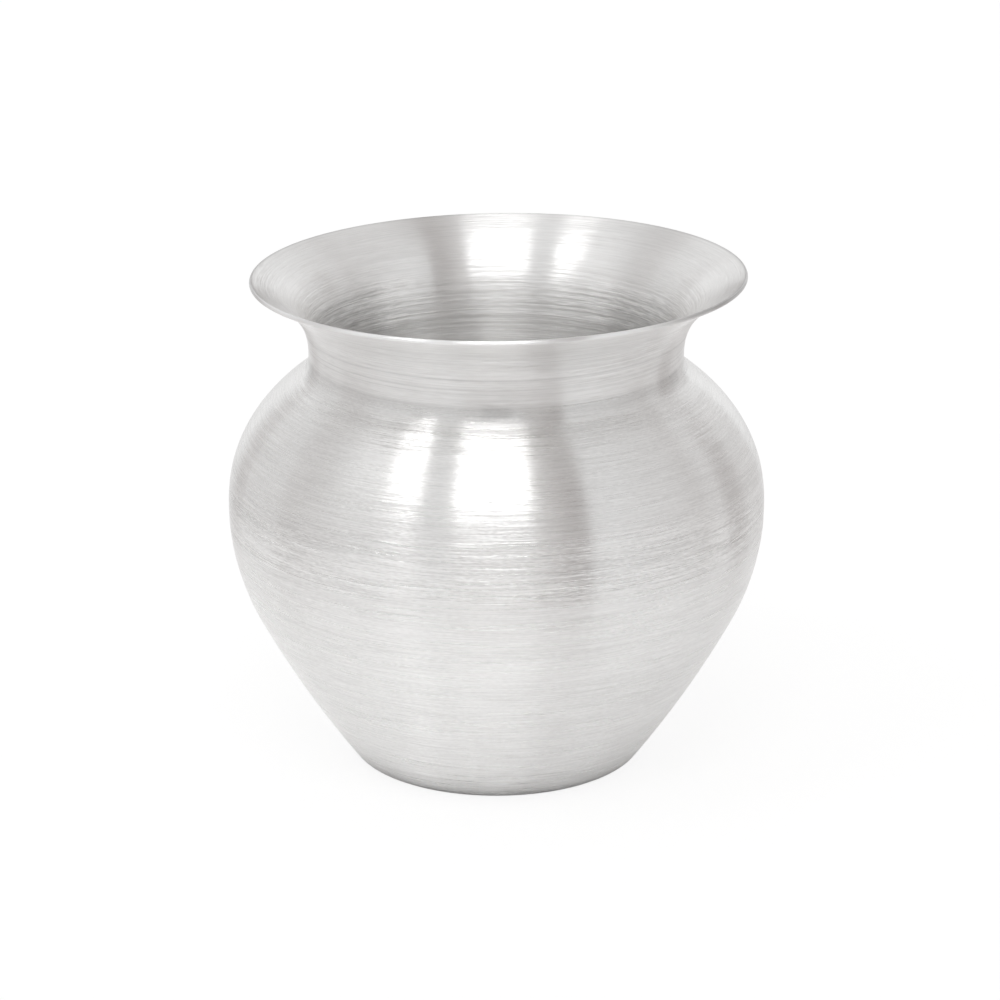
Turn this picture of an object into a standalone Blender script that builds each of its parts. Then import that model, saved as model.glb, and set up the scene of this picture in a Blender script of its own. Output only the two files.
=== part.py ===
"""A lota: a round water pot of brushed sheet metal, with a waisted neck and a flared mouth.

Three spun shells lap into one another at the belly and at the neck, and a ring of brazing metal
seals each lap from the inside. Metres, +Z up, origin at the middle of the base.
"""

import math

import bmesh
import bpy
import numpy as np

# Sheet and laps
SHEET = 0.0010
SEAM_GAP = 0.0003
BELLY_LAP = 0.0050
SKIRT_DEPTH = 0.0105
BRAZE_LEG = 0.0020
BRAZE_DEPTH = 0.0050
BRAZE_FEATHER = 0.0002

# Outer face of the lower bowl
FOOT_RADIUS = 0.0325
FOOT_CORNER = 0.0021
BELLY_RADIUS = 0.0600
BELLY_HEIGHT = 0.0590
KNEE_DROP = 0.0247
KNEE_INSET = 0.0060
KNEE_LEAN = math.radians(27.5)

# Outer face of the shoulder, up to the corner where its line would meet the neck
WAIST_RADIUS = 0.0415
SHOULDER_RISE = 0.0309
SHOULDER_SLOPE = math.radians(35.3)
SHOULDER_FULLNESS = (0.39, 0.34)
ROOT_FILLET = 0.0050

# Outer face of the mouth
NECK_STRAIGHT = 0.0008
MOUTH_RADIUS = 0.0548
FLARE_RISE = 0.0169
LIP_RISE = math.radians(23.2)
FLARE_FULLNESS = (0.39, 0.88)

# Mesh fineness
SEGMENTS = 56
CORNER_STEPS = 4
WALL_STEPS = 7
BELLY_STEPS = 6
SHOULDER_STEPS = 9
FILLET_STEPS = 5
FLARE_STEPS = 10
BRAZE_STEPS = 4
SHARP_EDGE = math.radians(35.0)

# Finish
STEEL = (0.74, 0.74, 0.73, 1.0)
BRAZE = (0.68, 0.65, 0.58, 1.0)
BRUSHED_ROUGHNESS = 0.34
BRAZE_ROUGHNESS = 0.5

UP = np.array([0.0, 1.0])
OUT = np.array([1.0, 0.0])


def bezier(start, start_handle, end_handle, end, steps):
    """Rows of radius, height and unit direction along a cubic curve."""
    t = np.linspace(0.0, 1.0, steps + 1)[:, None]
    first = start + start_handle
    second = end - end_handle
    points = (1 - t) ** 3 * start + 3 * (1 - t) ** 2 * t * first + 3 * (1 - t) * t**2 * second + t**3 * end
    slopes = (1 - t) ** 2 * start_handle + 2 * (1 - t) * t * (second - first) + t**2 * end_handle
    return np.hstack([points, slopes / np.linalg.norm(slopes, axis=1)[:, None]])


def arc(start, start_direction, end, end_direction, steps):
    """A curve between two directions that runs as near to a circle's arc as a cubic can."""
    turn = math.acos(np.clip(start_direction @ end_direction, -1.0, 1.0))
    reach = np.linalg.norm(end - start) / (3 * math.cos(turn / 4) ** 2)
    return bezier(start, reach * start_direction, reach * end_direction, end, steps)


def mirrored(direction, chord):
    """The direction at an arc's other end, given one end's direction and the chord."""
    along = chord / np.linalg.norm(chord)
    return 2 * (direction @ along) * along - direction


def fillet_tangent(radius, before, after):
    """How far a fillet's ends lie from the corner between two directions."""
    turn = math.acos(np.clip(before @ after, -1.0, 1.0))
    return radius * math.tan(turn / 2)


def joined(*paths):
    """One path from several that follow on, without the doubled points."""
    return np.vstack([paths[0]] + [path[1:] for path in paths[1:]])


def lengths(path):
    """Distance along a path to each of its points."""
    steps = np.linalg.norm(np.diff(path[:, :2], axis=0), axis=1)
    return np.concatenate([[0.0], np.cumsum(steps)])


def stretch(path, start, end):
    """The part of a path between two distances along it."""
    along = lengths(path)
    inner = along[(along > start) & (along < end)]
    marks = np.concatenate([[start], inner, [end]])
    rows = np.column_stack([np.interp(marks, along, column) for column in path.T])
    rows[:, 2:] /= np.linalg.norm(rows[:, 2:], axis=1)[:, None]
    return rows


def inset(path, depth):
    """Radius and height of a path moved into the pot by a depth, square to the metal."""
    inward = np.column_stack([-path[:, 3], path[:, 2]])
    return path[:, :2] + depth * inward


def lower_wall():
    """Outer face from the edge of the flat base, round the corner and up to the widest line."""
    corner = np.array([FOOT_RADIUS, 0.0])
    knee = np.array([BELLY_RADIUS - KNEE_INSET, BELLY_HEIGHT - KNEE_DROP])
    belly = np.array([BELLY_RADIUS, BELLY_HEIGHT])
    knee_direction = np.array([math.sin(KNEE_LEAN), math.cos(KNEE_LEAN)])
    foot_direction = mirrored(knee_direction, knee - corner)
    tangent = fillet_tangent(FOOT_CORNER, OUT, foot_direction)
    base_edge = corner - tangent * OUT
    wall_foot = corner + tangent * foot_direction
    return joined(
        arc(base_edge, OUT, wall_foot, foot_direction, CORNER_STEPS),
        arc(wall_foot, foot_direction, knee, knee_direction, WALL_STEPS),
        arc(knee, knee_direction, belly, UP, BELLY_STEPS),
    )


def shoulder_wall():
    """Outer face from the widest line over the shoulder and up the hollow bend at the neck's root."""
    belly = np.array([BELLY_RADIUS, BELLY_HEIGHT])
    root = np.array([WAIST_RADIUS, BELLY_HEIGHT + SHOULDER_RISE])
    root_direction = np.array([-math.cos(SHOULDER_SLOPE), math.sin(SHOULDER_SLOPE)])
    tangent = fillet_tangent(ROOT_FILLET, root_direction, UP)
    fillet_start = root - tangent * root_direction
    chord = np.linalg.norm(fillet_start - belly)
    belly_fullness, root_fullness = SHOULDER_FULLNESS
    return joined(
        bezier(
            belly, belly_fullness * chord * UP, root_fullness * chord * root_direction, fillet_start, SHOULDER_STEPS
        ),
        arc(fillet_start, root_direction, root + tangent * UP, UP, FILLET_STEPS),
    )


def mouth_wall(seam_height):
    """Outer face of the mouth, from just above the neck's seam up the flare to the lip."""
    foot = np.array([WAIST_RADIUS, seam_height + SEAM_GAP])
    flare = np.array([WAIST_RADIUS, seam_height + NECK_STRAIGHT])
    lip = np.array([MOUTH_RADIUS, seam_height + NECK_STRAIGHT + FLARE_RISE])
    lip_direction = np.array([math.cos(LIP_RISE), math.sin(LIP_RISE)])
    lift, reach = FLARE_FULLNESS
    return joined(
        arc(foot, UP, flare, UP, 1),
        bezier(
            flare, lift * FLARE_RISE * UP, reach * (MOUTH_RADIUS - WAIST_RADIUS) * lip_direction, lip, FLARE_STEPS
        ),
    )


# A joggle steps the sheet in by its own thickness and the gap, so that the next shell laps over it
JOGGLE_DEPTH = SHEET + SEAM_GAP
JOGGLE_NEAR = 0.5 * SHEET
JOGGLE_FAR = 1.5 * SHEET


def lower_bowl_section(wall, shoulder):
    """Cut face of the bowl: base, wall and the stepped-in edge that tucks inside the shoulder."""
    top = lengths(wall)[-1]
    lap = stretch(shoulder, 0.0, BELLY_LAP)
    bend = stretch(wall, top - JOGGLE_FAR, top - JOGGLE_NEAR)
    return np.vstack(
        [
            [[0.0, 0.0]],
            inset(wall, 0.0),
            inset(lap, JOGGLE_DEPTH),
            inset(lap, JOGGLE_DEPTH + SHEET)[::-1],
            inset(bend[-1:], JOGGLE_DEPTH + SHEET),
            inset(stretch(wall, 0.0, top - JOGGLE_FAR), SHEET)[::-1],
            [[0.0, SHEET]],
        ]
    )


def shoulder_section(shoulder):
    """Cut face of the shoulder, which stands a gap above the bowl's step."""
    shell = stretch(shoulder, SEAM_GAP, lengths(shoulder)[-1])
    return np.vstack([inset(shell, 0.0), inset(shell, SHEET)[::-1]])


def mouth_section(mouth, seam_height):
    """Cut face of the mouth: flare, lip and the straight skirt that drops well inside the shoulder."""
    skirt_outer = WAIST_RADIUS - JOGGLE_DEPTH
    skirt_inner = skirt_outer - SHEET
    skirt_foot = seam_height - SKIRT_DEPTH
    bend_height = seam_height + SEAM_GAP + JOGGLE_NEAR
    return np.vstack(
        [
            inset(mouth, 0.0),
            inset(stretch(mouth, JOGGLE_FAR, lengths(mouth)[-1]), SHEET)[::-1],
            [[skirt_inner, bend_height]],
            [[skirt_inner, skirt_foot]],
            [[skirt_outer, skirt_foot]],
            [[skirt_outer, seam_height + SEAM_GAP]],
        ]
    )


def belly_braze_section(shoulder):
    """Cut face of the belly's braze: a fillet on the bowl's edge, against the shoulder's inner face."""
    seat = BELLY_LAP + SEAM_GAP
    leg = stretch(shoulder, seat, seat + BRAZE_LEG)
    return np.vstack([inset(leg, JOGGLE_DEPTH), inset(leg[:1], JOGGLE_DEPTH + SHEET)])


def neck_braze_section(shoulder, seam_height):
    """Cut face of the neck's braze: it fills the wedge between the skirt and the shoulder's bend."""
    inner = WAIST_RADIUS - SHEET
    foot = seam_height - BRAZE_DEPTH
    bend = inset(shoulder, JOGGLE_DEPTH)
    top = np.interp(inner + BRAZE_FEATHER, bend[::-1, 0], bend[::-1, 1])
    heights = np.linspace(foot, top, BRAZE_STEPS + 1)
    radii = np.interp(heights, bend[:, 1], bend[:, 0])
    return np.vstack([[[inner, foot]], np.column_stack([radii, heights]), [[inner, top]]])


def metal(name, colour, roughness):
    """A plain metal finish."""
    material = bpy.data.materials.new(name)
    material.use_nodes = True
    shader = material.node_tree.nodes["Principled BSDF"]
    shader.inputs["Base Color"].default_value = colour
    shader.inputs["Metallic"].default_value = 1.0
    shader.inputs["Roughness"].default_value = roughness
    return material


def turned(name, section, material, parent):
    """A solid turned about the Z axis from its cut face."""
    shape = bmesh.new()
    corners = [shape.verts.new((radius, 0.0, height)) for radius, height in section]
    closed = section[0, 0] > 0.0
    ends = corners[1:] + corners[:1] if closed else corners[1:]
    edges = [shape.edges.new(pair) for pair in zip(corners, ends)]
    bmesh.ops.spin(
        shape,
        geom=corners + edges,
        cent=(0.0, 0.0, 0.0),
        axis=(0.0, 0.0, 1.0),
        angle=math.tau,
        steps=SEGMENTS,
        use_merge=True,
    )
    bmesh.ops.remove_doubles(shape, verts=shape.verts, dist=1e-7)
    bmesh.ops.recalc_face_normals(shape, faces=shape.faces)
    mesh = bpy.data.meshes.new(name)
    shape.to_mesh(mesh)
    shape.free()
    mesh.materials.append(material)
    mesh.shade_smooth()
    mesh.set_sharp_from_angle(angle=SHARP_EDGE)
    piece = bpy.data.objects.new(name, mesh)
    piece.parent = parent
    bpy.context.collection.objects.link(piece)


def main():
    for thing in list(bpy.data.objects):
        bpy.data.objects.remove(thing)
    pot = bpy.data.objects.new("lota", None)
    bpy.context.collection.objects.link(pot)

    wall = lower_wall()
    shoulder = shoulder_wall()
    seam_height = shoulder[-1, 1]
    mouth = mouth_wall(seam_height)

    bowl_steel = metal("bowl_steel", STEEL, BRUSHED_ROUGHNESS)
    shoulder_steel = metal("shoulder_steel", STEEL, BRUSHED_ROUGHNESS)
    mouth_steel = metal("mouth_steel", STEEL, BRUSHED_ROUGHNESS)
    belly_braze = metal("belly_braze", BRAZE, BRAZE_ROUGHNESS)
    neck_braze = metal("neck_braze", BRAZE, BRAZE_ROUGHNESS)

    turned("lower_bowl", lower_bowl_section(wall, shoulder), bowl_steel, pot)
    turned("shoulder_shell", shoulder_section(shoulder), shoulder_steel, pot)
    turned("mouth_collar", mouth_section(mouth, seam_height), mouth_steel, pot)
    turned("belly_braze_ring", belly_braze_section(shoulder), belly_braze, pot)
    turned("neck_braze_ring", neck_braze_section(shoulder, seam_height), neck_braze, pot)


main()
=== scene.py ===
"""Looks of the lota: brushed spun metal in a white studio, seen at the photograph's angle."""

import math
from typing import NamedTuple

import bpy
import numpy as np
from mathutils import Matrix, Vector


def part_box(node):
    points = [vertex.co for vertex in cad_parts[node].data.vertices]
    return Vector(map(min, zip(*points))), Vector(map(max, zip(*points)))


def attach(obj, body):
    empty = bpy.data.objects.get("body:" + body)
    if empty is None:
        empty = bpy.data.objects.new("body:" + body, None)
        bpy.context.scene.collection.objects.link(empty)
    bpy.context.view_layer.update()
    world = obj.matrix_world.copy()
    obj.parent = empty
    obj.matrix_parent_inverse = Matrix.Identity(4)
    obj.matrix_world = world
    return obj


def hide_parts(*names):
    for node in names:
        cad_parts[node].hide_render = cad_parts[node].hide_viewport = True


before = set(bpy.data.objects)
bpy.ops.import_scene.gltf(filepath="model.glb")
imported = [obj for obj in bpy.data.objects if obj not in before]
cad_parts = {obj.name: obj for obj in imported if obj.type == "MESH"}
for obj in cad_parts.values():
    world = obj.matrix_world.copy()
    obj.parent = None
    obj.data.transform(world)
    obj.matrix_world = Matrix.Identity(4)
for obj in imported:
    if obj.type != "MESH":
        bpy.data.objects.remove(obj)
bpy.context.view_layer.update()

# Sheet, seams and laps, in metres
SHEET = 0.0010
LAP_GAP = 0.0003
LAP_DEPTH = SHEET + LAP_GAP
SEAM_LINE = 0.00002
BELLY_LAP = 0.0050
LAP_BEND = 0.0040
SKIRT_DEPTH = 0.0105
NECK_BEND = 0.0050
BEND_FULLNESS = 0.45
EDGE_ROUND = 0.00042

# The lap at the neck is scarfed: the shoulder thins by this much over this length, and stays thin over as
# much again. The skirt's inner face stands as far inside the inner face of the full sheet
SCARF = 0.0003
SCARF_RUN = 0.0050

# Braze: its leg along the shoulder, how far its foot and its top on the skirt lie below the neck's seam, and
# the handles of the curves of its faces
BRAZE_LEG = 0.0020
BRAZE_DEPTH = 0.0050
BRAZE_TOP = 0.0015
BELLY_BRAZE_HANDLE = 0.0008
NECK_BRAZE_START = np.array([0.0004, -0.0006])
NECK_BRAZE_END = 0.0010

# The band ground flush round the belly's seam, with a fine step at its lower edge. The mesh's rows at the
# step lie at these shares of its run from its middle
LEDGE_HEIGHT = 0.0555
LEDGE_RUN = 0.00016
LEDGE_ROWS = (-2.0, -0.5, 0.5, 2.0)
GROUND_DEPTH = 0.00006
GROUND_TOP = 0.0680
GROUND_FADE = 0.0040

# How far the mouth sits askew
MOUTH_TILT = math.radians(0.65)
MOUTH_SHIFT = 0.0005

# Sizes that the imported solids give
bowl_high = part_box("lower_bowl")[1]
shoulder_low, shoulder_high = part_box("shoulder_shell")
mouth_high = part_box("mouth_collar")[1]
BELLY_RADIUS = bowl_high.x
BELLY_HEIGHT = shoulder_low.z - LAP_GAP
NECK_SEAM = shoulder_high.z
MOUTH_RADIUS = mouth_high.x

# The outline's own values, as in the solids
FOOT_RADIUS = 0.0325
FOOT_CORNER = 0.0021
KNEE_DROP = 0.0247
KNEE_INSET = 0.0060
KNEE_LEAN = math.radians(27.5)
WAIST_RADIUS = 0.0415
SHOULDER_SLOPE = math.radians(35.3)
SHOULDER_FULLNESS = (0.39, 0.34)
ROOT_FILLET = 0.0050
NECK_STRAIGHT = 0.0008
LIP_RISE = math.radians(23.2)
FLARE_FULLNESS = (0.39, 0.88)
LIP_HEIGHT = mouth_high.z - SHEET * math.cos(LIP_RISE)

# Mesh fineness: columns round the pot, the length of a row and the fewest on a curve, and the angle from
# which an edge is sharp
COLUMNS = 300
ROW = 0.0009
FINE_ROW = 0.0004
CORNER_STEPS = 8
SHARP_ANGLE = math.radians(40.0)

UP = np.array([0.0, 1.0])
OUT = np.array([1.0, 0.0])


# Paths, as rows of radius, height and unit direction
def bezier(start, start_handle, end_handle, end, row=ROW):
    """A cubic curve between two points, with the handles at both ends."""
    steps = max(CORNER_STEPS, round(np.linalg.norm(end - start) / row))
    t = np.linspace(0.0, 1.0, steps + 1)[:, None]
    u = 1 - t
    first = start + start_handle
    second = end - end_handle
    points = u**3 * start + 3 * u**2 * t * first + 3 * u * t**2 * second + t**3 * end
    slopes = u**2 * start_handle + 2 * u * t * (second - first) + t**2 * end_handle
    return np.hstack([points, slopes / np.linalg.norm(slopes, axis=1)[:, None]])


def arc(start, start_direction, end, end_direction, row=ROW):
    """A curve between two directions that runs as near to a circle's arc as a cubic can."""
    turn = math.acos(np.clip(start_direction @ end_direction, -1.0, 1.0))
    reach = np.linalg.norm(end - start) / (3 * math.cos(turn / 4) ** 2)
    return bezier(start, reach * start_direction, reach * end_direction, end, row)


def line(start, end):
    """A straight path."""
    direction = (end - start) / np.linalg.norm(end - start)
    return arc(start, direction, end, direction)


def mirrored(direction, chord):
    """The direction at an arc's other end, given one end's direction and the chord."""
    along = chord / np.linalg.norm(chord)
    return 2 * (direction @ along) * along - direction


def fillet_tangent(radius, before, after):
    """How far a fillet's ends lie from the corner between two directions."""
    turn = math.acos(np.clip(before @ after, -1.0, 1.0))
    return radius * math.tan(turn / 2)


def joined(*paths):
    """One path from several that follow on, without the doubled points."""
    return np.vstack([paths[0]] + [path[1:] for path in paths[1:]])


def lengths(path):
    """Distance along a path to each of its points."""
    steps = np.linalg.norm(np.diff(path[:, :2], axis=0), axis=1)
    return np.concatenate([[0.0], np.cumsum(steps)])


def read_at(path, distances):
    """A path's rows at the given distances along it."""
    along = lengths(path)
    return np.column_stack([np.interp(distances, along, column) for column in path.T])


def stretch(path, start, end):
    """The part of a path between two distances along it."""
    along = lengths(path)
    inner = along[(along > start + SEAM_LINE) & (along < end - SEAM_LINE)]
    rows = read_at(path, np.concatenate([[start], inner, [end]]))
    rows[:, 2:] /= np.linalg.norm(rows[:, 2:], axis=1)[:, None]
    return rows


def inset(path, depth):
    """A path moved into the pot by a depth, square to the metal."""
    inward = np.column_stack([-path[:, 3], path[:, 2]])
    return np.hstack([path[:, :2] + depth * inward, path[:, 2:]])


def backwards(path):
    """A path walked the other way."""
    return np.hstack([path[::-1, :2], -path[::-1, 2:]])


def bend(before, after):
    """A smooth curve from the end of one path to the start of the next."""
    handle = BEND_FULLNESS * np.linalg.norm(after[0, :2] - before[-1, :2])
    return bezier(before[-1, :2], handle * before[-1, 2:], handle * after[0, 2:], after[0, :2], FINE_ROW)


def ground(path):
    """A path with the ground band sunk into it. One that starts above the ledge is sunk from its start."""
    along = lengths(path)
    ledge = np.interp(LEDGE_HEIGHT, path[:, 1], along, left=-SHEET)
    edges = [ledge + share * LEDGE_RUN for share in LEDGE_ROWS]
    distances = np.sort(np.concatenate([along, edges]))
    distances = distances[distances >= 0.0]
    rows = read_at(path, distances)
    lower = np.clip((distances - ledge) / LEDGE_RUN + 0.5, 0.0, 1.0)
    upper = np.clip((GROUND_TOP - rows[:, 1]) / GROUND_FADE, 0.0, 1.0)
    return inset(rows, (GROUND_DEPTH * lower * upper)[:, None])


# Outline of the pot's outer face
def lower_wall():
    """From the edge of the flat base, round the corner and up to the widest line."""
    corner = np.array([FOOT_RADIUS, 0.0])
    knee = np.array([BELLY_RADIUS - KNEE_INSET, BELLY_HEIGHT - KNEE_DROP])
    belly = np.array([BELLY_RADIUS, BELLY_HEIGHT])
    knee_direction = np.array([math.sin(KNEE_LEAN), math.cos(KNEE_LEAN)])
    foot_direction = mirrored(knee_direction, knee - corner)
    tangent = fillet_tangent(FOOT_CORNER, OUT, foot_direction)
    base_edge = corner - tangent * OUT
    wall_foot = corner + tangent * foot_direction
    return joined(
        arc(base_edge, OUT, wall_foot, foot_direction, FINE_ROW),
        arc(wall_foot, foot_direction, knee, knee_direction),
        arc(knee, knee_direction, belly, UP),
    )


def shoulder_wall():
    """From the widest line over the shoulder and up the hollow bend at the neck's root."""
    belly = np.array([BELLY_RADIUS, BELLY_HEIGHT])
    root_direction = np.array([-math.cos(SHOULDER_SLOPE), math.sin(SHOULDER_SLOPE)])
    tangent = fillet_tangent(ROOT_FILLET, root_direction, UP)
    root = np.array([WAIST_RADIUS, NECK_SEAM - tangent])
    fillet_start = root - tangent * root_direction
    chord = np.linalg.norm(fillet_start - belly)
    belly_fullness, root_fullness = SHOULDER_FULLNESS
    return joined(
        bezier(belly, belly_fullness * chord * UP, root_fullness * chord * root_direction, fillet_start),
        arc(fillet_start, root_direction, root + tangent * UP, UP, FINE_ROW),
    )


def mouth_wall():
    """From the neck's seam up the flare to the lip."""
    foot = np.array([WAIST_RADIUS, NECK_SEAM])
    flare = np.array([WAIST_RADIUS, NECK_SEAM + NECK_STRAIGHT])
    lip = np.array([MOUTH_RADIUS, LIP_HEIGHT])
    lip_direction = np.array([math.cos(LIP_RISE), math.sin(LIP_RISE)])
    lift, reach = FLARE_FULLNESS
    rise = lift * (LIP_HEIGHT - NECK_SEAM - NECK_STRAIGHT) * UP
    overhang = reach * (MOUTH_RADIUS - WAIST_RADIUS) * lip_direction
    return joined(line(foot, flare), bezier(flare, rise, overhang, lip))


# Cut faces of the pieces, each a closed loop or a path from the axis back to the axis
def lower_bowl_section(wall, shoulder):
    """Base, wall and the stepped-in edge that tucks inside the shoulder."""
    top = lengths(wall)[-1]
    lap = stretch(shoulder, 0.0, BELLY_LAP)
    inner_wall = inset(stretch(wall, 0.0, top - LAP_BEND), SHEET)
    inner_lap = inset(stretch(shoulder, SHEET, BELLY_LAP), LAP_DEPTH + SHEET)
    return np.vstack(
        [
            line(np.zeros(2), wall[0, :2])[:-1],
            ground(stretch(wall, 0.0, top - SEAM_LINE)),
            inset(lap, LAP_DEPTH),
            backwards(inner_lap),
            bend(backwards(inner_lap), backwards(inner_wall))[1:-1],
            backwards(inner_wall),
            line(inner_wall[0, :2], np.array([0.0, SHEET]))[1:],
        ]
    )


def shoulder_section(shoulder):
    """The shoulder's shell, from the belly's seam to the neck's, thinned where the skirt laps it."""
    top = lengths(shoulder)[-1]
    scarf_start = top - 2 * SCARF_RUN
    shell = stretch(shoulder, 0.0, top - SEAM_LINE)
    thinning = np.clip((lengths(shell) - scarf_start) / SCARF_RUN, 0.0, 1.0)[:, None]
    return np.vstack([ground(shell), backwards(inset(shell, SHEET - SCARF * thinning))])


def lip_section(mouth):
    """The lip's cut edge, with both its corners rounded."""
    tip = mouth[-1, :2]
    along = mouth[-1, 2:]
    across = np.array([-along[1], along[0]])
    inner_tip = tip + SHEET * across
    return joined(
        arc(tip - EDGE_ROUND * along, along, tip + EDGE_ROUND * across, across),
        line(tip + EDGE_ROUND * across, inner_tip - EDGE_ROUND * across),
        arc(inner_tip - EDGE_ROUND * across, across, inner_tip - EDGE_ROUND * along, -along),
    )


def mouth_section(mouth):
    """Flare, lip and the skirt that drops inside the shoulder, with one smooth face inside."""
    top = lengths(mouth)[-1] - EDGE_ROUND
    skirt_outer = WAIST_RADIUS - SHEET + SCARF - SEAM_LINE
    skirt_inner = WAIST_RADIUS - SHEET - SCARF
    skirt_foot = NECK_SEAM - SKIRT_DEPTH
    inner = inset(stretch(mouth, NECK_BEND, top), SHEET)
    foot = np.array([skirt_inner, skirt_foot + SCARF])
    toe = np.array([skirt_outer, skirt_foot])
    skirt = line(foot + SHEET * UP, foot)
    return np.vstack(
        [
            stretch(mouth, 0.0, top),
            lip_section(mouth)[1:-1],
            backwards(inner),
            bend(backwards(inner), skirt)[1:-1],
            skirt,
            arc(foot, -UP, toe, OUT, FINE_ROW)[1:],
            line(toe, np.array([skirt_outer, NECK_SEAM]))[1:],
        ]
    )


def belly_braze_section(shoulder):
    """A fillet of braze on the bowl's inner edge, against the shoulder."""
    leg = stretch(shoulder, BELLY_LAP + SEAM_LINE, BELLY_LAP + BRAZE_LEG)
    back = inset(leg, SHEET + SEAM_LINE)
    toe = inset(leg[:1], LAP_DEPTH + SHEET)
    face = bezier(back[-1, :2], -BELLY_BRAZE_HANDLE * back[-1, 2:], np.zeros(2), toe[0, :2])
    return np.vstack([back, face[1:]])


def neck_braze_section(shoulder):
    """Braze in the wedge between the skirt and the shoulder, with a hollow face."""
    skirt = WAIST_RADIUS - SHEET + SCARF - SEAM_LINE
    foot = NECK_SEAM - BRAZE_DEPTH
    top = NECK_SEAM - BRAZE_TOP
    root = inset(shoulder, SHEET + SEAM_LINE)
    below = np.searchsorted(root[:, 1], foot - BRAZE_LEG)
    above = np.searchsorted(root[:, 1], top)
    back = root[below:above]
    wedge = line(np.array([skirt, top]), np.array([skirt, foot]))
    face = bezier(wedge[-1, :2], NECK_BRAZE_START, -NECK_BRAZE_END * back[0, 2:], back[0, :2], FINE_ROW)
    return np.vstack([back, wedge, face[1:-1]])


# Meshes
BRUSH_ATTRIBUTE = "brush"


def circles(radii, heights):
    """Points on circles about Z, one circle for each radius and height."""
    bearings = np.arange(COLUMNS) * math.tau / COLUMNS
    x = np.outer(radii, np.cos(bearings))
    y = np.outer(radii, np.sin(bearings))
    z = np.repeat(heights[:, None], COLUMNS, axis=1)
    return np.stack([x, y, z], axis=-1).reshape(-1, 3).tolist()


def bands(count, closed):
    """Faces between neighbouring circles, and from the last to the first where the cut face is closed."""
    faces = []
    for i in range(count if closed else count - 1):
        lower = i * COLUMNS
        upper = (i + 1) % count * COLUMNS
        for j in range(COLUMNS):
            k = (j + 1) % COLUMNS
            faces.append((lower + j, lower + k, upper + k, upper + j))
    return faces


def fans(count):
    """Faces that close a mesh on the axis, before its first circle and after its last."""
    first_middle = count * COLUMNS
    last_middle = first_middle + 1
    last = first_middle - COLUMNS
    faces = []
    for j in range(COLUMNS):
        k = (j + 1) % COLUMNS
        faces.append((first_middle, k, j))
        faces.append((last_middle, last + j, last + k))
    return faces


def turned(name, section, start=0.0):
    """A mesh turned about Z. Its points keep their bearing and their distance along the cut face."""
    along = start + lengths(section)
    on_axis = section[0, 0] < SEAM_LINE
    turning = slice(1, -1) if on_axis else slice(None)
    count = len(section[turning])
    points = circles(section[turning, 0], section[turning, 1])
    brush = circles(np.ones(count), along[turning])
    faces = bands(count, closed=not on_axis)
    if on_axis:
        points += [[0.0, 0.0, section[0, 1]], [0.0, 0.0, section[-1, 1]]]
        brush += [[0.0, 0.0, along[0]], [0.0, 0.0, along[-1]]]
        faces += fans(count)
    mesh = bpy.data.meshes.new(name)
    mesh.from_pydata(points, [], faces)
    layer = mesh.attributes.new(BRUSH_ATTRIBUTE, "FLOAT_VECTOR", "POINT")
    layer.data.foreach_set("vector", np.array(brush, np.float32).ravel())
    mesh.shade_smooth()
    mesh.set_sharp_from_angle(angle=SHARP_ANGLE)
    piece = bpy.data.objects.new(name, mesh)
    bpy.context.scene.collection.objects.link(piece)
    return piece


def set_askew(piece):
    """Leans the flare a little, as a mouth opened out by hand does."""
    for point in piece.data.vertices:
        rise = (point.co.z - NECK_SEAM) / (LIP_HEIGHT - NECK_SEAM)
        share = min(max(rise, 0.0), 1.0) ** 2
        point.co.z += share * math.tan(MOUTH_TILT) * point.co.x
        point.co.x += share * MOUTH_SHIFT


# Nodes of materials and of the room
WHITE = (1.0, 1.0, 1.0, 1.0)


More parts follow.
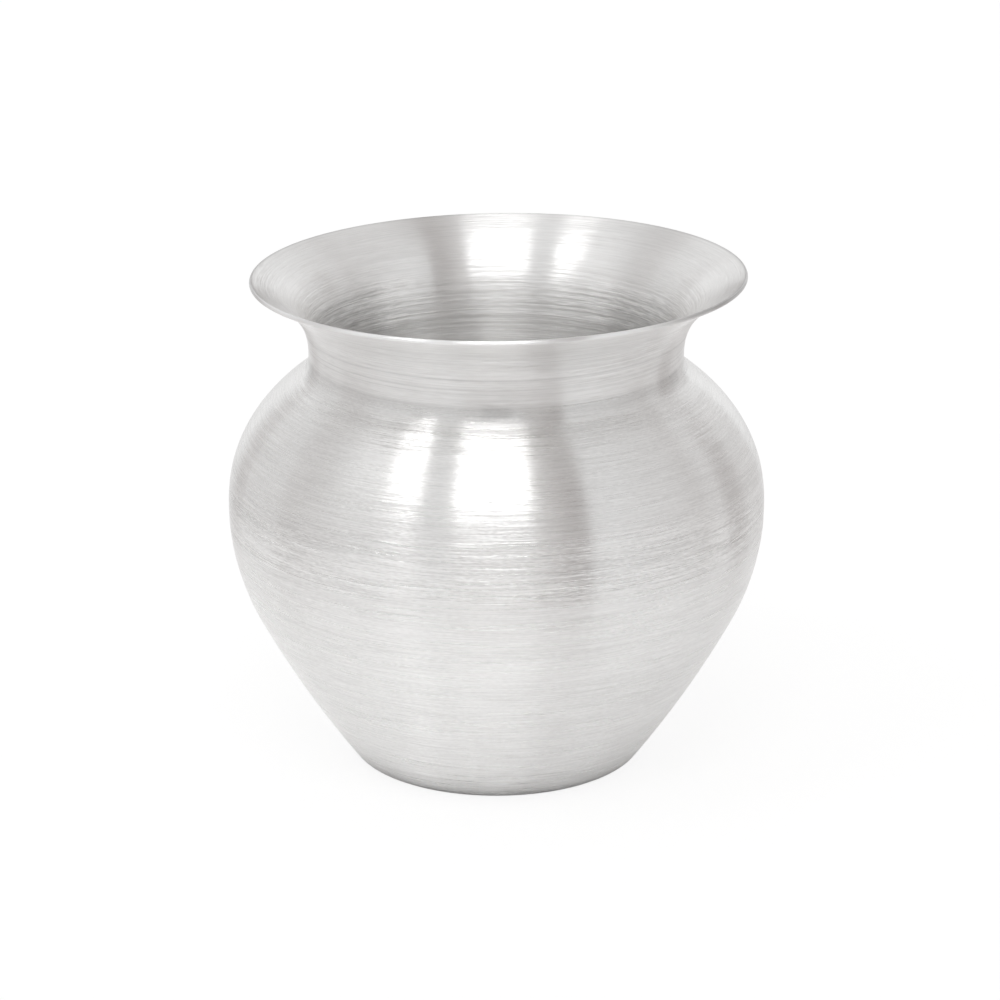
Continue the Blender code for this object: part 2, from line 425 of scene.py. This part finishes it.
class Nodes:
    """A short way to add and link the nodes of one tree."""

    def __init__(self, tree):
        self.tree = tree

    def fill(self, node, values):
        """Sets a node's inputs, each to a value or to another node's output."""
        for key, value in values.items():
            if isinstance(value, bpy.types.NodeSocket):
                self.tree.links.new(value, node.inputs[key])
            else:
                node.inputs[key].default_value = value

    def add(self, kind, values=None, **settings):
        """A new node with its settings and its inputs."""
        node = self.tree.nodes.new(kind)
        for key, value in settings.items():
            setattr(node, key, value)
        self.fill(node, values or {})
        return node

    def math(self, operation, *values):
        """Arithmetic on numbers."""
        return self.add("ShaderNodeMath", dict(enumerate(values)), operation=operation).outputs[0]

    def vector(self, operation, *values):
        """Arithmetic on vectors."""
        return self.add("ShaderNodeVectorMath", dict(enumerate(values)), operation=operation).outputs[0]

    def scaled(self, vector, factor):
        """A vector or a colour times a number."""
        return self.add("ShaderNodeVectorMath", {0: vector, "Scale": factor}, operation="SCALE").outputs[0]

    def length(self, vector):
        """A vector's length."""
        return self.add("ShaderNodeVectorMath", {0: vector}, operation="LENGTH").outputs["Value"]

    def axes(self, vector):
        """A vector's X, Y and Z."""
        return self.add("ShaderNodeSeparateXYZ", {0: vector}).outputs

    def away(self, value, middle):
        """How far a number is from another."""
        return self.math("ABSOLUTE", self.math("SUBTRACT", value, middle))

    def bearing(self, vector):
        """How far a place or a direction lies to the right of the front, in degrees."""
        part = self.axes(vector)
        return self.math("DEGREES", self.math("ARCTAN2", part["X"], self.math("MULTIPLY", part["Y"], -1.0)))

    def remap(self, value, low, high, to_low, to_high, smooth=False):
        """A number carried from one range to another, and held at its ends."""
        return self.add(
            "ShaderNodeMapRange",
            {0: value, 1: low, 2: high, 3: to_low, 4: to_high},
            interpolation_type="SMOOTHSTEP" if smooth else "LINEAR",
        ).outputs[0]

    def mix(self, share, first, second):
        """A number between two others."""
        return self.add("ShaderNodeMix", {0: share, 2: first, 3: second}, data_type="FLOAT").outputs[0]

    def mix_colour(self, share, first, second):
        """A colour between two others."""
        return self.add("ShaderNodeMix", {0: share, 6: first, 7: second}, data_type="RGBA").outputs[2]

    def mix_shader(self, share, first, second):
        """A surface between two others."""
        return self.add("ShaderNodeMixShader", {0: share, 1: first, 2: second}).outputs[0]

    def diffuse(self, colour):
        """A matt surface."""
        return self.add("ShaderNodeBsdfDiffuse", {"Color": colour}).outputs[0]

    def emission(self, strength):
        """A surface that gives white light."""
        return self.add("ShaderNodeEmission", {"Color": WHITE, "Strength": strength}).outputs[0]


# Finishes
class Lines(NamedTuple):
    """A layer of brushed lines. Drift sets how far they wander across, and share is their strength."""

    to_the_radian: float
    to_the_metre: float
    drift: float = 0.0
    detail: float = 0.0
    share: float = 1.0


class Finish(NamedTuple):
    """A metal's brushing. Tilt makes its lines lean, reach makes them longer and slant makes them cross."""

    light: tuple
    dark: tuple
    roughness: float
    tilt: float
    reach: float = 1.0
    slant: float = 1.0


class Mark(NamedTuple):
    """A line round the metal, turned or painted: its place along the cut face, half its width, and its
    shades.
    """

    place: float
    spread: float
    front: float
    back: float


# Fine grain, hairs and long strokes, which make up the brushing, with broad bands and the drift behind them
BRUSHING = [
    Lines(80.0, 4400.0, share=0.6),
    Lines(10.0, 3900.0, drift=0.0003, share=0.7),
    Lines(2.5, 3000.0, drift=0.0005, detail=1.0, share=0.75),
]
BANDS = Lines(1.2, 160.0, detail=1.0, share=0.4)
DRIFT = Lines(4.0, 60.0)
NOISE_ROUGHNESS = 0.6
# How far the noise commonly swings to each side of zero
SWING = 0.2

STEEL_LIGHT = (1.0, 0.997, 0.99, 1.0)
BRUSHED_DARK = (0.77, 0.765, 0.758, 1.0)
BRUSHED_STEEL = Finish(STEEL_LIGHT, BRUSHED_DARK, roughness=0.295, tilt=0.68, reach=1.7)
TURNED_DARK = (0.86, 0.855, 0.848, 1.0)
TURNED_STEEL = Finish(STEEL_LIGHT, TURNED_DARK, roughness=0.315, tilt=0.62, reach=6.0, slant=0.15)
BRAZE = Finish((0.72, 0.68, 0.60, 1.0), (0.53, 0.49, 0.43, 1.0), roughness=0.5, tilt=0.6)
ROUGHNESS_SPREAD = 0.03
ANISOTROPY = 1.0
QUARTER_TURN = 0.25

# What the ground band adds to the lines' strength, half the width of the change at its ledge, and how much
# stronger the lines are on the mouth's outer face than on its inner face
COARSE_GAIN = 0.9
LEDGE_BLUR = 0.0004
OUTER_GAIN = 1.55

# The darkening at the neck's seam: how much it darkens, its heights from the seam where it starts, is full,
# fades and ends, the depths in the sheet where it ends and is full, and the least and the most of its
# blotches
SEAM_DARKENING = 0.13
DARKENING_RISE = (0.0012, -0.0002)
DARKENING_FALL = (-0.0012, -0.0040)
DARKENING_SKIN = (0.0005, 0.0002)
DARKENING_BLOTCH = (0.3, 1.0)
# Its darkest spots, of which those at the sides are painted dark reflections of the hollow bend at the neck's
# root: bearing and half width in degrees, the share of that width that is full, and their gain
DARKEST_SPOTS = [(0.0, 6.0), (-77.0, 5.0), (68.0, 5.0)]
SPOT_CORE = 0.4
SPOT_GAIN = 0.9

# Fine dark lines left by turning: distance up the mouth from the neck's seam, half the width, and the shade.
# In patches they are as faint as this share
TURNED_MARKS = [(0.0064, 0.0004, 0.15), (0.0041, 0.0003, 0.10), (0.0030, 0.0003, 0.08)]
FAINT_MARK = 0.5
# The lip's edge: a painted highlight in front and painted shade at the sides and the back. Half its width and
# both shades, of which the first is below zero. It is brightest at one bearing, and dulls between two angles
# from there
PAINTED_LIP_LIGHT = (0.0009, -0.14, 0.42)
LIP_LIGHT_MIDDLE = -14.0
LIP_LIGHT_FRONT = (38.0, 70.0)


def noise(n, vector, around, across, detail=0.0):
    """Two fields of noise, evenly about zero."""
    spread = n.vector("MULTIPLY", vector, (around, around, across))
    values = {"Vector": spread, "Scale": 1.0, "Detail": detail, "Roughness": NOISE_ROUGHNESS}
    colour = n.axes(n.add("ShaderNodeTexNoise", values).outputs["Color"])
    return [n.math("SUBTRACT", colour[axis], 0.5) for axis in ("X", "Y")]


def drifted(n, brush, drift):
    """The brushing's place, wandering up and down so that lines cross at slight angles."""
    wander, _ = noise(n, brush, DRIFT.to_the_radian, DRIFT.to_the_metre)
    rise = n.add("ShaderNodeCombineXYZ", {"Z": n.math("MULTIPLY", wander, drift)}).outputs[0]
    return n.vector("ADD", brush, rise)


def brushed_lines(n, brush, layer, finish):
    """One layer of lines: a field for their shade and one for their tilt."""
    place = drifted(n, brush, finish.slant * layer.drift) if layer.drift else brush
    return noise(n, place, layer.to_the_radian / finish.reach, layer.to_the_metre, layer.detail)


def total(n, fields):
    """The sum of the brushing's fields, by their shares."""
    whole = 0.0
    for field, layer in zip(fields, BRUSHING):
        whole = n.math("ADD", whole, n.math("MULTIPLY", field, layer.share))
    return whole


def coarseness(n, height, along, outer_end):
    """How strong the lines are: more on the ground band, and more on an outer face that ends at the lip."""
    above = n.remap(height, LEDGE_HEIGHT - LEDGE_BLUR, LEDGE_HEIGHT + LEDGE_BLUR, 0.0, 1.0, smooth=True)
    below = n.remap(height, GROUND_TOP - GROUND_FADE, GROUND_TOP + GROUND_FADE, 1.0, 0.0, smooth=True)
    gain = n.math("MULTIPLY", n.math("MULTIPLY", above, below), COARSE_GAIN)
    coarse = n.math("ADD", 1.0, gain)
    if outer_end:
        coarse = n.math("MULTIPLY", coarse, n.remap(along, outer_end - SHEET, outer_end, OUTER_GAIN, 1.0))
    return coarse


def darkening_at_seam(n, place, patch):
    """How much the metal is darkened at the neck's seam, in blotches, with painted dark reflections at the
    sides.
    """
    inner, outer = DARKENING_SKIN
    height = n.math("SUBTRACT", n.axes(place)["Z"], NECK_SEAM)
    radius = n.length(n.vector("MULTIPLY", place, (1.0, 1.0, 0.0)))
    depth = n.remap(radius, WAIST_RADIUS - inner, WAIST_RADIUS - outer, 0.0, 1.0)
    depth = n.math("MULTIPLY", depth, n.remap(height, *DARKENING_RISE, 0.0, 1.0, smooth=True))
    depth = n.math("MULTIPLY", depth, n.remap(height, *DARKENING_FALL, 1.0, 0.0, smooth=True))
    bearing = n.bearing(place)
    blotch = n.remap(patch, -SWING, SWING, *DARKENING_BLOTCH)
    # The spots at the sides are painted dark reflections of the hollow bend at the neck's root
    for middle, spread in DARKEST_SPOTS:
        spot = n.remap(n.away(bearing, middle), SPOT_CORE * spread, spread, SPOT_GAIN, 0.0, smooth=True)
        blotch = n.math("ADD", blotch, spot)
    return n.math("MULTIPLY", n.math("MULTIPLY", depth, blotch), SEAM_DARKENING)


def marking(n, mark, along, bearing, patch):
    """How much a mark darkens the metal. The lip's is a painted highlight in front and painted shade
    elsewhere.
    """
    depth = n.remap(n.away(bearing, LIP_LIGHT_MIDDLE), *LIP_LIGHT_FRONT, mark.front, mark.back, smooth=True)
    shade = n.remap(n.away(along, mark.place), 0.0, mark.spread, depth, 0.0)
    return n.math("MULTIPLY", shade, n.remap(patch, -SWING, 0.0, FAINT_MARK, 1.0))


def tilted(n, tangent, lean):
    """The surface's normal, leant across the brushing."""
    facing = n.add("ShaderNodeNewGeometry").outputs["Normal"]
    uphill = n.vector("CROSS_PRODUCT", facing, tangent)
    return n.vector("NORMALIZE", n.vector("ADD", facing, n.scaled(uphill, lean)))


def brushed_metal(name, finish, marks_and_lip_light=(), outer_end=None):
    """Metal brushed round the pot: fine lines, each with a shade and a small tilt of its own."""
    material = bpy.data.materials.new(name)
    material.use_nodes = True
    n = Nodes(material.node_tree)
    brush = n.add("ShaderNodeAttribute", attribute_name=BRUSH_ATTRIBUTE).outputs["Vector"]
    place = n.add("ShaderNodeTexCoord").outputs["Object"]
    along = n.axes(brush)["Z"]
    shades, tilts = zip(*[brushed_lines(n, brush, layer, finish) for layer in BRUSHING])
    band_shade, patch = brushed_lines(n, brush, BANDS, finish)
    coarse = coarseness(n, n.axes(place)["Z"], along, outer_end)

    tone = n.math("ADD", total(n, shades), n.math("MULTIPLY", band_shade, BANDS.share))
    tone = n.math("ADD", n.math("MULTIPLY", tone, coarse), 0.5)
    base_factor = n.math("SUBTRACT", 1.0, darkening_at_seam(n, place, patch))
    # The lip's mark among these is a painted highlight in front and painted shade at the sides and the back
    for mark in marks_and_lip_light:
        base_factor = n.math("SUBTRACT", base_factor, marking(n, mark, along, n.bearing(place), patch))
    smoothest = finish.roughness - ROUGHNESS_SPREAD
    roughest = finish.roughness + ROUGHNESS_SPREAD
    lean = n.math("MULTIPLY", n.math("MULTIPLY", total(n, tilts), finish.tilt), coarse)
    tangent = n.add("ShaderNodeTangent", direction_type="RADIAL", axis="Z").outputs[0]
    n.fill(
        material.node_tree.nodes["Principled BSDF"],
        {
            "Base Color": n.scaled(n.mix_colour(tone, finish.dark, finish.light), base_factor),
            "Roughness": n.remap(shades[-1], -SWING, SWING, smoothest, roughest),
            "Normal": tilted(n, tangent, lean),
            "Tangent": tangent,
            "Metallic": 1.0,
            "Anisotropic": ANISOTROPY,
            "Anisotropic Rotation": QUARTER_TURN,
        },
    )
    return material


# Camera, matched to the photograph
CAMERA_RISE = math.radians(18.83)
CAMERA_ROLL = math.radians(-0.1)
CAMERA_DISTANCE = 0.750
CAMERA_AIM = Vector((0.0, 0.0, 0.05825))
CAMERA_LENS = 120.2
CAMERA_SENSOR = 36.0
CAMERA_SHIFT = 0.0035
TO_CAMERA = Vector((0.0, -math.cos(CAMERA_RISE), math.sin(CAMERA_RISE)))


def camera():
    """Looks at the pot from the front, a little above."""
    data = bpy.data.cameras.new("camera")
    data.sensor_width = CAMERA_SENSOR
    data.lens = CAMERA_LENS
    data.shift_x = CAMERA_SHIFT
    eye = bpy.data.objects.new("camera", data)
    bpy.context.scene.collection.objects.link(eye)
    turn = Matrix.Rotation(math.pi / 2 - CAMERA_RISE, 4, "X") @ Matrix.Rotation(CAMERA_ROLL, 4, "Z")
    eye.matrix_world = Matrix.Translation(CAMERA_AIM + CAMERA_DISTANCE * TO_CAMERA) @ turn
    bpy.context.scene.camera = eye


# Studio
class Panel(NamedTuple):
    """A panel of the room, by the bearing and the lean in degrees of the metal that mirrors it.

    The edges and the fade are half the widths of the soft changes at its sides and at its ends.
    """

    left: float
    right: float
    left_edge: float
    right_edge: float
    low: float
    high: float
    fade: float
    tone: float


# Grey walls round the pot, by the bearing of the metal that mirrors them to the front, in degrees right of
# the front: where a tone ends, half the width of the change, and the tone after it
FIRST_TONE = 0.73
WALL_TONES = [
    (-78.0, 2.0, 0.62),
    (-71.0, 1.5, 0.72),
    (-54.5, 1.5, 0.65),
    (-40.0, 9.0, 0.74),
    (-18.2, 0.4, 0.77),
    (8.4, 0.5, 0.66),
    (13.5, 5.0, 0.44),
    (20.4, 0.3, 0.78),
    (33.0, 8.0, 0.705),
    (46.0, 6.0, 0.615),
    (52.0, 1.5, 0.68),
    (58.5, 2.0, 0.52),
    (67.0, 3.0, 0.67),
    (78.0, 3.0, 0.68),
]
# How much lighter the walls are above, and darker below: two leans of the metal, and the share at each
WALL_FADE = (0.0, 55.0, 0.95, 1.07)
# The darker a wall, the warmer its grey: the tones between which it pales, and the darkest's hue
WARM_TONES = (0.48, 0.80)
WARM_GREY = (1.045, 1.0, 0.985, 1.0)
# Lit and unlit panels in front of the pot. A later one lies over those before it
FRONT_PANELS = [
    # Grey fields low in the room
    Panel(8.4, 20.4, 0.5, 0.3, -30.0, 9.0, 5.0, 0.56),
    Panel(-10.0, 8.4, 0.4, 0.4, -12.0, 12.0, 3.0, 0.56),
    # A pale field and a dark gap under each strip
    Panel(-10.0, 8.4, 0.4, 0.4, 13.0, 20.0, 2.0, 1.25),
    Panel(-10.0, 8.4, 0.4, 0.4, 22.0, 34.5, 1.5, 0.04),
    Panel(-25.0, -18.2, 0.4, 0.4, 13.0, 23.0, 2.0, 0.95),
    Panel(-25.0, -18.2, 0.4, 0.4, 24.5, 33.0, 1.5, 0.20),
    # A soft glow left of the strips, and a dark and a pale field high on the right
    Panel(-38.0, -25.0, 8.0, 0.4, 36.0, 50.0, 5.0, 1.18),
    Panel(20.0, 42.0, 2.0, 4.0, 52.0, 66.0, 4.0, 0.62),
    Panel(58.0, 78.0, 3.0, 3.0, 44.0, 66.0, 4.0, 0.74),
    # The left strip in two steps, and the main strip with its dimmer right half
    Panel(-26.0, -22.5, 0.4, 0.4, 40.0, 45.5, 1.0, 5.6),
    Panel(-22.5, -18.2, 0.4, 0.4, 36.0, 44.5, 1.0, 5.6),
    Panel(-9.6, 8.0, 0.4, 0.4, 36.0, 42.5, 1.0, 7.0),
    Panel(1.0, 8.0, 4.0, 0.4, 36.0, 42.5, 1.0, 6.0),
]
# The same behind the pot, by the metal that mirrors them to a camera behind it
BACK_PANELS = [
    # A dark field with two lit strips and a darker one in it
    Panel(-14.0, 14.0, 1.0, 1.0, 31.0, 46.0, 3.0, 0.48),
    Panel(-11.5, -6.0, 0.5, 0.5, 32.0, 40.0, 3.0, 1.05),
    Panel(-1.0, 8.5, 0.5, 0.5, 32.0, 40.0, 3.0, 1.25),
    Panel(9.0, 13.5, 0.5, 0.5, 31.0, 40.0, 3.0, 0.36),
    # A pale field below it, with a dark column in the middle that the lip's edge mirrors
    Panel(-14.0, 14.0, 1.5, 1.5, 5.0, 28.0, 3.0, 0.92),
    Panel(-2.5, 2.5, 2.0, 2.0, -12.0, 22.0, 3.0, 0.25),
]
HALF_TURN = (-1.0, -1.0, 1.0)


def mirror_angles(n, direction):
    """Bearing and lean, in degrees, of metal that mirrors light from a direction to the camera."""
    facing = n.vector("NORMALIZE", n.vector("ADD", direction, TO_CAMERA))
    lean = n.math("DEGREES", n.math("ARCSINE", n.axes(facing)["Z"]))
    return n.bearing(facing), lean


def panel_mask(n, bearing, lean, panel):
    """One inside a panel and zero outside it, with soft edges."""
    edges = [
        (bearing, panel.left, panel.left_edge, 0.0, 1.0),
        (bearing, panel.right, panel.right_edge, 1.0, 0.0),
        (lean, panel.low, panel.fade, 0.0, 1.0),
        (lean, panel.high, panel.fade, 1.0, 0.0),
    ]
    mask = 1.0
    for angle, edge, spread, before, after in edges:
        side = n.remap(angle, edge - spread, edge + spread, before, after, smooth=True)
        mask = n.math("MULTIPLY", mask, side)
    return mask


def wall_light(n, bearing, lean):
    """The grey walls' light."""
    light = FIRST_TONE
    tone = FIRST_TONE
    for edge, spread, after in WALL_TONES:
        step = n.remap(bearing, edge - spread, edge + spread, 0.0, after - tone, smooth=True)
        light = n.math("ADD", light, step)
        tone = after
    return n.math("MULTIPLY", light, n.remap(lean, *WALL_FADE))


def studio_world():
    """A room of grey walls and panels, for light and for reflections. To the camera it is white."""
    world = bpy.data.worlds.new("studio")
    bpy.context.scene.world = world
    world.use_nodes = True
    n = Nodes(world.node_tree)
    direction = n.add("ShaderNodeTexCoord").outputs["Generated"]
    front = mirror_angles(n, direction)
    back = mirror_angles(n, n.vector("MULTIPLY", direction, HALF_TURN))
    light = wall_light(n, *front)
    for angles, panels in ((front, FRONT_PANELS), (back, BACK_PANELS)):
        for panel in panels:
            light = n.mix(panel_mask(n, *angles, panel), light, panel.tone)
    paleness = n.remap(light, *WARM_TONES, 0.0, 1.0)
    seen = n.add("ShaderNodeLightPath").outputs["Is Camera Ray"]
    n.fill(
        world.node_tree.nodes["Background"],
        {"Color": n.mix_colour(paleness, WARM_GREY, WHITE), "Strength": n.mix(seen, light, 1.0)},
    )


# The table: half its side, its white, and its lacquer's share and roughness
TABLE_HALF = 3.0
TABLE_WHITE = 0.9
LACQUER_SHARE = 0.10
LACQUER_ROUGHNESS = 0.3
# Its own glow, painted light as of a lit table: where it starts round the foot, how it falls with the
# distance from the middle, and its share from the left to the right
GLOW_EDGE = (0.0335, 0.0420)
GLOW_REACH = (0.036, 0.065)
GLOW = (0.145, 0.125)
GLOW_SIDES = (-70.0, 70.0, 1.15, 0.85)
# A painted streak of light on it: its bearing, half its width and what it adds
PAINTED_STREAK = (-29.0, 9.0, 0.045)
# A painted shadow close round the foot: how far it reaches, and its share of the table's white
PAINTED_SHADOW_REACH = (0.0315, 0.0350)
PAINTED_SHADOW_SHARE = 0.35
# Where it passes into the room
TABLE_FADE = (0.125, 0.265)
# To the camera it is white paper: how bright, and the share of that. The rest keeps the pot's shadow
PAPER_GLOW = 1.05
PAPER_SHARE = 0.82
# It is open under the pot, as far in from the edge of the base as this
BASE_MARGIN = 0.0005


def painted_table_glow(n, reach, side):
    """The painted light that the table gives by itself, though it is no lamp."""
    middle, spread, gain = PAINTED_STREAK
    glow = n.remap(reach, *GLOW_REACH, *GLOW, smooth=True)
    glow = n.math("ADD", glow, n.remap(n.away(side, middle), 0.0, spread, gain, 0.0, smooth=True))
    glow = n.math("MULTIPLY", glow, n.remap(reach, *GLOW_EDGE, 0.0, 1.0, smooth=True))
    glow = n.math("MULTIPLY", glow, n.remap(side, *GLOW_SIDES, smooth=True))
    return n.emission(glow)


def lit_table(n, place, reach, clear):
    """The table as the pot mirrors it: white lacquer with a painted glow and a painted foot shadow, fading
    out.
    """
    painted_shadow = n.remap(reach, *PAINTED_SHADOW_REACH, PAINTED_SHADOW_SHARE, 1.0, smooth=True)
    matt = n.diffuse(n.scaled((TABLE_WHITE, TABLE_WHITE, TABLE_WHITE), painted_shadow))
    shine = n.add("ShaderNodeBsdfAnisotropic", {"Color": WHITE, "Roughness": LACQUER_ROUGHNESS}).outputs[0]
    lacquer = n.mix_shader(LACQUER_SHARE, matt, shine)
    glow = painted_table_glow(n, reach, n.bearing(place))
    table = n.add("ShaderNodeAddShader", {0: lacquer, 1: glow}).outputs[0]
    return n.mix_shader(n.remap(reach, *TABLE_FADE, 0.0, 1.0, smooth=True), table, clear)


def table_material(hole):
    """White paper to the camera and a lit table to the pot, clear from below and within a hole."""
    material = bpy.data.materials.new("white_table")
    material.use_nodes = True
    tree = material.node_tree
    tree.nodes.remove(tree.nodes["Principled BSDF"])
    n = Nodes(tree)
    surface = n.add("ShaderNodeNewGeometry").outputs
    place = surface["Position"]
    reach = n.length(place)
    clear = n.add("ShaderNodeBsdfTransparent").outputs[0]
    matt = n.diffuse((TABLE_WHITE, TABLE_WHITE, TABLE_WHITE, 1.0))
    paper = n.mix_shader(PAPER_SHARE, matt, n.emission(PAPER_GLOW))
    seen = n.add("ShaderNodeLightPath").outputs["Is Camera Ray"]
    table = n.mix_shader(seen, lit_table(n, place, reach, clear), paper)
    opened = n.math("MAXIMUM", surface["Backfacing"], n.math("LESS_THAN", reach, hole))
    n.fill(tree.nodes["Material Output"], {"Surface": n.mix_shader(opened, table, clear)})
    return material


def floor(base_radius):
    """A wide white table that keeps a faint shadow of the pot."""
    half = TABLE_HALF
    corners = [(-half, -half, 0), (half, -half, 0), (half, half, 0), (-half, half, 0)]
    mesh = bpy.data.meshes.new("floor")
    mesh.from_pydata(corners, [], [(0, 1, 2, 3)])
    mesh.materials.append(table_material(base_radius - BASE_MARGIN))
    board = bpy.data.objects.new("floor", mesh)
    bpy.context.scene.collection.objects.link(board)


# Light that bounces between the walls inside the mouth
GLOSSY_BOUNCES = 10


def dress(piece, node, material):
    """Gives a piece its finish and puts it in its node's place."""
    piece.data.materials.append(material)
    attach(piece, "root")
    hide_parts(node)


wall = lower_wall()
shoulder = shoulder_wall()
mouth = mouth_wall()
belly_start = FOOT_RADIUS + lengths(wall)[-1]
neck_start = belly_start + lengths(shoulder)[-1]
lip_start = neck_start + lengths(mouth)[-1]

turned_marks = [Mark(neck_start + rise, spread, shade, shade) for rise, spread, shade in TURNED_MARKS]
# The lip's mark is painted light: a highlight in front and shade at the sides and the back
painted_lip_light = Mark(lip_start + SHEET / 2, *PAINTED_LIP_LIGHT)
steel = brushed_metal("brushed_steel", BRUSHED_STEEL)
turned_steel = brushed_metal("turned_steel", TURNED_STEEL, turned_marks + [painted_lip_light], lip_start)
braze = brushed_metal("braze_metal", BRAZE)

bowl = turned("bowl", lower_bowl_section(wall, shoulder))
dress(bowl, "lower_bowl", steel)
shell = turned("shoulder", shoulder_section(shoulder), belly_start)
dress(shell, "shoulder_shell", steel)
collar = turned("mouth", mouth_section(mouth), neck_start)
set_askew(collar)
dress(collar, "mouth_collar", turned_steel)
belly_ring = turned("belly_braze", belly_braze_section(shoulder), belly_start)
dress(belly_ring, "belly_braze_ring", braze)
neck_ring = turned("neck_braze", neck_braze_section(shoulder), neck_start)
dress(neck_ring, "neck_braze_ring", braze)

studio_world()
floor(wall[0, 0])
camera()
bpy.context.scene.view_settings.view_transform = "Standard"
bpy.context.scene.cycles.glossy_bounces = GLOSSY_BOUNCES
